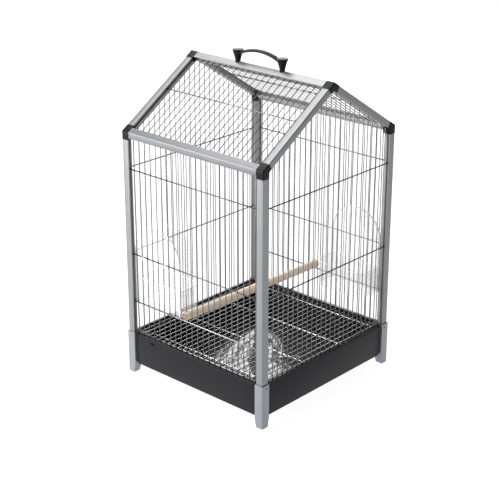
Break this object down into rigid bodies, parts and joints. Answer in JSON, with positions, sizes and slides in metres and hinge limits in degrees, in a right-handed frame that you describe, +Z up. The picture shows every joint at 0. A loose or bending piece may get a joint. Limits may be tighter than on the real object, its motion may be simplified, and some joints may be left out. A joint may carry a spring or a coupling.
{
  "type": "parrot cage",
  "caption": "House-shaped parrot cage with an aluminium frame, wire panels, a moulded base tub on legs, a floor grille, a wooden perch, clear feeders and a carrying handle.",
  "frame": {"origin": "on the floor, under the middle of the cage", "axes": "+X to the right across the front gable, +Y along the ridge towards the rear gable, +Z up"},
  "size_m": [0.455, 0.4304, 0.78],
  "materials": {
    "frame_metal": "satin anodised",
    "leg_metal": "satin anodised",
    "black_strip": "matt",
    "cap_plastic": "satin moulded",
    "plated_wire": "bright plated",
    "tub_plastic": "satin moulded",
    "screw_steel": "plated",
    "perch_wood": "plain turned",
    "clear_plastic": "clear moulded",
    "handle_plastic": "satin"
  },
  "bodies": {
    "base": {"leg_front_left": "leg_metal", "leg_front_right": "leg_metal", "leg_rear_left": "leg_metal", "leg_rear_right": "leg_metal", "base_tub": "tub_plastic", "leg_screws": "screw_steel"},
    "grille": {"floor_grille": "plated_wire"},
    "cage": {"post_front_left": "frame_metal", "post_front_right": "frame_metal", "post_rear_left": "frame_metal", "post_rear_right": "frame_metal", "post_channel_strips": "black_strip", "eave_rail_left": "frame_metal", "eave_rail_right": "frame_metal", "ridge_bar": "frame_metal", "rafter_front_left": "frame_metal", "rafter_front_right": "frame_metal", "rafter_rear_left": "frame_metal", "rafter_rear_right": "frame_metal", "eave_cap_front_left": "cap_plastic", "eave_cap_front_right": "cap_plastic", "eave_cap_rear_left": "cap_plastic", "eave_cap_rear_right": "cap_plastic", "ridge_cap_front": "cap_plastic", "ridge_cap_rear": "cap_plastic", "side_wires_left": "plated_wire", "side_wires_right": "plated_wire", "gable_wires_front": "plated_wire", "gable_wires_rear": "plated_wire", "roof_wires_left": "plated_wire", "roof_wires_right": "plated_wire", "handle_grip": "handle_plastic", "handle_stem_front": "handle_plastic", "handle_stem_rear": "handle_plastic", "handle_screws": "screw_steel"},
    "perch": {"perch": "perch_wood"},
    "feeder_left": {"feeder_hood_left": "clear_plastic"},
    "feeder_right": {"feeder_hood_right": "clear_plastic"},
    "cup_left": {"feeder_cup_left": "clear_plastic"},
    "cup_right": {"feeder_cup_right": "clear_plastic"}
  },
  "joints": [
    {"name": "cage_lift", "type": "slide", "parent": "base", "child": "cage", "axis": [0, 0, 1], "range_m": [0, 0.06]},
    {"name": "grille_lift", "type": "slide", "parent": "base", "child": "grille", "axis": [0, 0, 1], "range_m": [0, 0.06]},
    {"name": "perch_lift", "type": "slide", "parent": "cage", "child": "perch", "axis": [0, 0, 1], "range_m": [0, 0.085]},
    {"name": "feeder_left_lift", "type": "slide", "parent": "cage", "child": "feeder_left", "axis": [0, 0, 1], "range_m": [0, 0.02]},
    {"name": "feeder_right_lift", "type": "slide", "parent": "cage", "child": "feeder_right", "axis": [0, 0, 1], "range_m": [0, 0.02]},
    {"name": "cup_left_slide", "type": "slide", "parent": "feeder_left", "child": "cup_left", "axis": [1, 0, 0], "range_m": [0, 0.09]},
    {"name": "cup_right_slide", "type": "slide", "parent": "feeder_right", "child": "cup_right", "axis": [-1, 0, 0], "range_m": [0, 0.09]}
  ]
}
